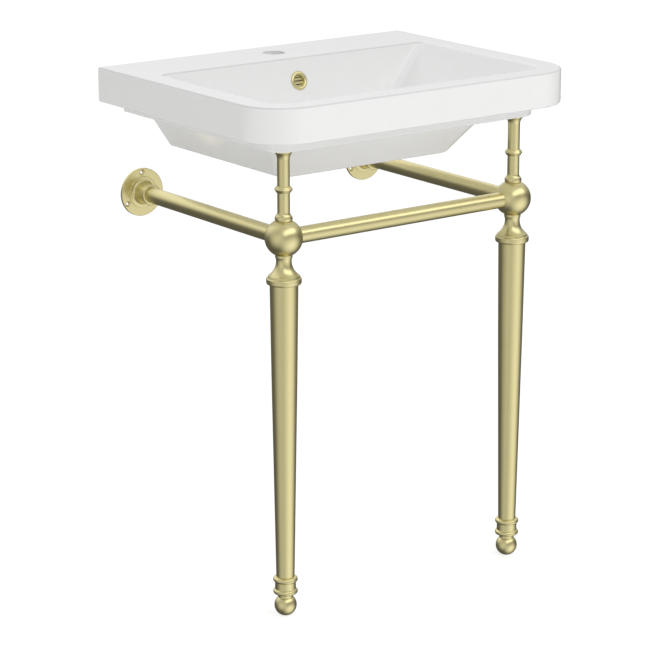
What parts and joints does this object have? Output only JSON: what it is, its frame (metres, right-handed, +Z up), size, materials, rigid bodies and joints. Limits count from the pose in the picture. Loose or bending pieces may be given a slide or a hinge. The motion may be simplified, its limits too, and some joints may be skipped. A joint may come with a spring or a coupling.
{
  "type": "console basin with legs",
  "caption": "Rectangular ceramic console basin with a sloping bowl, carried on turned brass legs with rails to round wall flanges.",
  "frame": {"origin": "on the floor, midway along the basin's width and midway from the wall to its front edge", "axes": "+X along the wall to the right as seen from the front, +Y into the wall, +Z up"},
  "size_m": [0.6, 0.462, 0.812],
  "materials": {
    "glazed_ceramic": "white glaze, glossy",
    "satin_brass": "pale brushed brass, satin",
    "steel": "zinc plated",
    "rubber": "black, matt"
  },
  "bodies": {
    "frame": {"left_foot_collar": "satin_brass", "left_leg_tube": "satin_brass", "left_leg_neck": "satin_brass", "left_hub_ball": "satin_brass", "left_lower_stem": "satin_brass", "left_side_rail": "satin_brass", "left_wall_flange": "satin_brass", "left_tie_rod": "steel", "left_stem_stud": "steel", "left_hub_grub_screws": "steel", "left_flange_grub_screw": "steel", "right_foot_collar": "satin_brass", "right_leg_tube": "satin_brass", "right_leg_neck": "satin_brass", "right_hub_ball": "satin_brass", "right_lower_stem": "satin_brass", "right_side_rail": "satin_brass", "right_wall_flange": "satin_brass", "right_tie_rod": "steel", "right_stem_stud": "steel", "right_hub_grub_screws": "steel", "right_flange_grub_screw": "steel", "basin": "glazed_ceramic", "overflow_ring": "satin_brass", "overflow_grid": "satin_brass", "front_rail": "satin_brass"},
    "left_foot": {"left_foot": "satin_brass", "left_foot_stud": "steel"},
    "left_cup": {"left_support_cup": "satin_brass", "left_cup_pad": "rubber"},
    "right_foot": {"right_foot": "satin_brass", "right_foot_stud": "steel"},
    "right_cup": {"right_support_cup": "satin_brass", "right_cup_pad": "rubber"}
  },
  "joints": [
    {"name": "left_foot_height", "type": "slide", "parent": "frame", "child": "left_foot", "axis": [0, 0, -1], "range_m": [0, 0.012]},
    {"name": "left_cup_height", "type": "slide", "parent": "frame", "child": "left_cup", "axis": [0, 0, -1], "range_m": [0, 0.006]},
    {"name": "right_foot_height", "type": "slide", "parent": "frame", "child": "right_foot", "axis": [0, 0, -1], "range_m": [0, 0.012]},
    {"name": "right_cup_height", "type": "slide", "parent": "frame", "child": "right_cup", "axis": [0, 0, -1], "range_m": [0, 0.006]}
  ]
}
